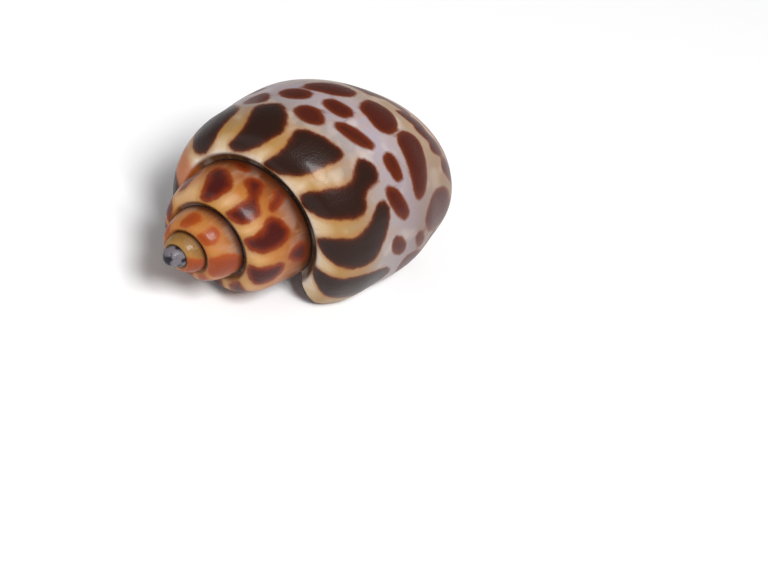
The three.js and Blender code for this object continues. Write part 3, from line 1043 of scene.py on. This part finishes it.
STREAKS_PER_TURN = 70.0
STREAKS_ALONG = 1.3
STREAK_NOISE = (1.0, 3.0)
STREAK_LEVELS = (0.5, 0.75)
STREAK_STRENGTH = 0.28
CLOUD_NOISE = (260.0, 2.0)
CLOUD_LEVELS = (0.48, 0.7)
CLOUD_STRENGTHS = (0.12, 0.3)  # on the older whorls and on the last
TAN_ALONG = (1.5, 0.7)
TAN_STRENGTH = 0.55

# The side towards the left edge of the picture is orange-brown, and the base near the lip is darkened with
# painted shade.
SIDE_START_TURNS = (-0.405, -0.45)
SIDE_END_TURNS = (-0.62, -0.5)
SIDE_ALONG = (0.95, 0.4)
SIDE_STRENGTH = 0.8
SHADED_BASE_TURNS = (-0.16, 0.0)
SHADED_BASE_ALONG = (1.2, 2.1)
BASE_SHADE_STRENGTH = 0.65

FASCIOLE_ALONG = (3.2, 3.34)
FASCIOLE_STRENGTH = 0.75
DIRT_AND_SHADE_REACH = (0.46, 0.1)  # from the next suture, in suture radii; a band of dirt and painted shade
DIRT_AND_SHADE_STRENGTH = 0.9
LINE_REACH = (0.12, 0.03)
KNOB_TURNS = (-3.42, -3.56)
KNOB_NOISE = (700.0, 2.0)
LIP_EDGE_SPAN = (0.05, 0.3)
PORCELAIN_SPAN = (0.35, 0.75)
FINE_NOISE = (4200.0, 3.0)
SHELL_RELIEF = 0.00011


def ground_colour(look, turn, along_whorl):
    last = look.ramp(along_whorl, LAST_GROUND, GROUND_REACH)
    penultimate = look.ramp(along_whorl, PENULTIMATE_GROUND, GROUND_REACH)
    older = look.ramp(along_whorl, OLDER_GROUND, GROUND_REACH)
    earliest = look.ramp(along_whorl, EARLIEST_GROUND, GROUND_REACH)
    colour = look.mix(look.step(turn, *OLDER_GROUND_TURNS), earliest, older)
    colour = look.mix(look.step(turn, *PENULTIMATE_GROUND_TURNS), colour, penultimate)
    return look.mix(look.step(turn, *LAST_GROUND_TURNS), colour, last)


def blotch_colour(look, turn, depth):
    last = look.ramp(depth, LAST_BLOTCH, BLOTCH_REACH)
    older = look.ramp(depth, OLDER_BLOTCH, BLOTCH_REACH)
    early = look.ramp(depth, EARLY_BLOTCH, BLOTCH_REACH)
    colour = look.mix(look.step(turn, *OLDER_BLOTCH_TURNS), early, older)
    return look.mix(look.step(turn, *LAST_BLOTCH_TURNS), colour, last)


def growth_streaks(look, turn, along_whorl):
    across = look.math("MULTIPLY", turn, STREAKS_PER_TURN)
    down = look.math("MULTIPLY", along_whorl, STREAKS_ALONG)
    return look.noise(look.vector(across, down), *STREAK_NOISE)


def uneven_ground(look, turn, along_whorl, blotch_depth, streaks, clouds):
    """The ground with growth streaks, pale clouds, a tan border round the blotches, its orange-brown side and
    painted shade on the base near the lip.
    """
    ground = ground_colour(look, turn, along_whorl)
    ground = look.tint(ground, look.step(streaks, *STREAK_LEVELS), STREAK_STRENGTH, STREAK_TONE)
    clouding = look.mix_value(look.step(turn, *CLOUD_TURNS), *CLOUD_STRENGTHS)
    ground = look.tint(ground, look.step(clouds, *CLOUD_LEVELS), clouding, CLOUD_TONE)
    border = look.both(look.step(blotch_depth, *HALO_EDGE), look.step(along_whorl, *TAN_ALONG))
    ground = look.tint(ground, border, TAN_STRENGTH, TAN)
    side = look.both(look.step(turn, *SIDE_START_TURNS), look.step(turn, *SIDE_END_TURNS))
    side = look.both(side, look.step(along_whorl, *SIDE_ALONG))
    ground = look.tint(ground, side, SIDE_STRENGTH, ORANGE_BROWN)
    # Painted shade: the base near the lip is made darker and duller.
    base = look.both(look.step(turn, *SHADED_BASE_TURNS), look.step(along_whorl, *SHADED_BASE_ALONG))
    return look.tint(ground, base, BASE_SHADE_STRENGTH, PAINTED_SHADE_BROWN)


def with_markings(look, ground, place, turn, blotch_depth):
    uneven = look.math("SUBTRACT", look.noise(place, *EDGE_NOISE), 0.5)
    wander = look.math("MULTIPLY", uneven, BLOTCH_WANDER)
    blotch = look.math("ADD", blotch_depth, wander)
    spot = look.math("ADD", look.value("spot"), look.math("MULTIPLY", wander, SPOT_WANDER))
    cover = look.mix_value(look.step(turn, *OLDER_BLOTCH_TURNS), EARLY_COVER, 1.0)
    covered = look.both(look.step(blotch, *BLOTCH_EDGE), cover)
    colour = look.mix(covered, ground, blotch_colour(look, turn, blotch))
    return look.mix(look.step(spot, *SPOT_EDGE), colour, look.ramp(spot, SPOT_SHADES, BLOTCH_REACH))


def with_wear_and_shade(look, colour, place, turn, along_whorl):
    """The brown ridge round the umbilicus, dirt and painted shade in the sutures, and the worn knob."""
    seam = look.value("seam")
    colour = look.tint(colour, look.step(along_whorl, *FASCIOLE_ALONG), FASCIOLE_STRENGTH, FASCIOLE)
    # Dirt and painted shade darken each whorl towards the next suture.
    colour = look.tint(colour, look.step(seam, *DIRT_AND_SHADE_REACH), DIRT_AND_SHADE_STRENGTH, SUTURE_DIRT_AND_SHADE)
    knob = look.ramp(look.noise(place, *KNOB_NOISE), KNOB_SHADES)
    colour = look.mix(look.step(turn, *KNOB_TURNS), colour, knob)
    return look.mix(look.step(seam, *LINE_REACH), colour, SUTURE_LINE)


def with_enamel(look, colour, clouds):
    enamel = look.value("enamel")
    porcelain = look.mix(clouds, PORCELAIN, PORCELAIN_SHADOW)
    colour = look.mix(look.step(enamel, *LIP_EDGE_SPAN), colour, LIP_EDGE)
    return look.mix(look.step(enamel, *PORCELAIN_SPAN), colour, porcelain)


def glazed_shell():
    look = Look("glazed_shell", Roughness=0.4, Specular_IOR_Level=0.12, Coat_Weight=0.16, Coat_Roughness=0.16)
    place = look.place()
    turn = look.value("turn")
    along_whorl = look.value("along")
    blotch_depth = look.value("blotch")
    streaks = growth_streaks(look, turn, along_whorl)
    clouds = look.noise(place, *CLOUD_NOISE)
    colour = uneven_ground(look, turn, along_whorl, blotch_depth, streaks, clouds)
    colour = with_markings(look, colour, place, turn, blotch_depth)
    colour = with_wear_and_shade(look, colour, place, turn, along_whorl)
    colour = with_enamel(look, colour, clouds)
    look.feed(look.shader.inputs["Base Color"], colour)
    fine = look.noise(place, *FINE_NOISE)
    look.relief(look.math("MULTIPLY", look.math("ADD", fine, streaks), 0.5), SHELL_RELIEF)
    return look.material


HORN_SHADES = [
    (0.0, shade(70, 16, 12)),
    (0.5, shade(96, 24, 16)),
    (0.88, shade(112, 34, 18)),
    (1.0, shade(160, 88, 38)),
]
HORN_LINE = shade(48, 10, 10)
HORN_CRUST = shade(112, 100, 74)
UNEVEN_NOISE = (420.0, 3.0)
RING_WAVE = 0.05  # how far the growth lines wave, in shares of the way to the rim
RING_COUNT = 26.0
RING_NOISE = (1.0, 2.0)
RING_LEVELS = (0.52, 0.68)
RING_START = (0.1, 0.35)
RING_STRENGTH = 0.65
CRUST_ACROSS = (0.78, 0.6)  # on the pillar's side, in suture radii from the axis
CRUST_LEVELS = (0.3, 0.55)
CRUST_STRENGTH = 0.85
HORN_RELIEF = 0.00012


def horn():
    look = Look("horn", Roughness=0.34, Coat_Weight=0.35, Coat_Roughness=0.2)
    ring = look.value("ring")
    uneven = look.noise(look.place(), *UNEVEN_NOISE)
    wavy = look.math("ADD", ring, look.math("MULTIPLY", uneven, RING_WAVE))
    lines = look.noise(look.vector(look.math("MULTIPLY", wavy, RING_COUNT)), *RING_NOISE)
    colour = look.ramp(ring, HORN_SHADES)
    lined = look.both(look.step(lines, *RING_LEVELS), look.step(ring, *RING_START))
    colour = look.tint(colour, lined, RING_STRENGTH, HORN_LINE)
    crust = look.both(look.step(look.value("across"), *CRUST_ACROSS), look.step(uneven, *CRUST_LEVELS))
    colour = look.tint(colour, crust, CRUST_STRENGTH, HORN_CRUST)
    look.feed(look.shader.inputs["Base Color"], colour)
    look.relief(look.math("ADD", lines, look.math("MULTIPLY", uneven, 0.5)), HORN_RELIEF)
    return look.material


shell.data.materials.append(glazed_shell())
operculum.data.materials.append(horn())

FLOOR_SIZE = 3
FLOOR_COLOUR = shade(242, 242, 243)


def make_floor():
    bpy.ops.mesh.primitive_plane_add(size=FLOOR_SIZE)
    floor = bpy.context.object
    floor.name = "floor"
    look = Look("pale_floor", Roughness=0.9)
    look.feed(look.shader.inputs["Base Color"], FLOOR_COLOUR)
    floor.data.materials.append(look.material)


make_floor()


LIGHTS = (  # name, place, size and power
    ("key", (-0.23, -0.42, 0.72), 0.3, 8),
    ("fill", (-0.7, 0.35, 0.4), 0.6, 1.2),
)
LIGHT_AIM = (0, 0, 0.01)
WORLD_STRENGTH = 0.3


def make_light(name, place, size, power):
    data = bpy.data.lights.new(name, "AREA")
    data.size = size
    data.energy = power
    lamp = bpy.data.objects.new(name, data)
    lamp.location = place
    toward = Vector(LIGHT_AIM) - Vector(place)
    lamp.rotation_euler = toward.to_track_quat("-Z", "Y").to_euler()
    bpy.context.scene.collection.objects.link(lamp)


def make_world():
    world = bpy.data.worlds.new("studio")
    world.use_nodes = True
    background = world.node_tree.nodes["Background"]
    background.inputs["Color"].default_value = (1, 1, 1, 1)
    background.inputs["Strength"].default_value = WORLD_STRENGTH
    bpy.context.scene.world = world
    bpy.context.scene.view_settings.view_transform = "Standard"


for light in LIGHTS:
    make_light(*light)
make_world()

# The camera as it stood to the lying shell in the photograph, in millimetres and degrees.
LENS = 85
SENSOR_WIDTH = 36
CLIP_START = 0.01
CAMERA_AIM = (6.59, -12.68, 0)  # the place on the table in the middle of the picture
CAMERA_DISTANCE = 247.93  # from there
CAMERA_AZIMUTH = -155.65  # from +X, round +Z
CAMERA_ELEVATION = 41.09  # above the table
CAMERA_ROLL = 22.37


def make_camera():
    data = bpy.data.cameras.new("camera")
    data.lens = LENS
    data.sensor_width = SENSOR_WIDTH
    data.clip_start = CLIP_START
    camera = bpy.data.objects.new("camera", data)
    bpy.context.scene.collection.objects.link(camera)
    facing = Matrix.Rotation(math.radians(CAMERA_AZIMUTH + 90), 3, "Z")
    raised = Matrix.Rotation(math.radians(90 - CAMERA_ELEVATION), 3, "X")
    rolled = Matrix.Rotation(math.radians(CAMERA_ROLL), 3, "Z")
    axes = facing @ raised @ rolled
    place = (Vector(CAMERA_AIM) + CAMERA_DISTANCE * axes.col[2]) * MM
    camera.matrix_world = Matrix.Translation(place) @ axes.to_4x4()
    bpy.context.scene.camera = camera


make_camera()
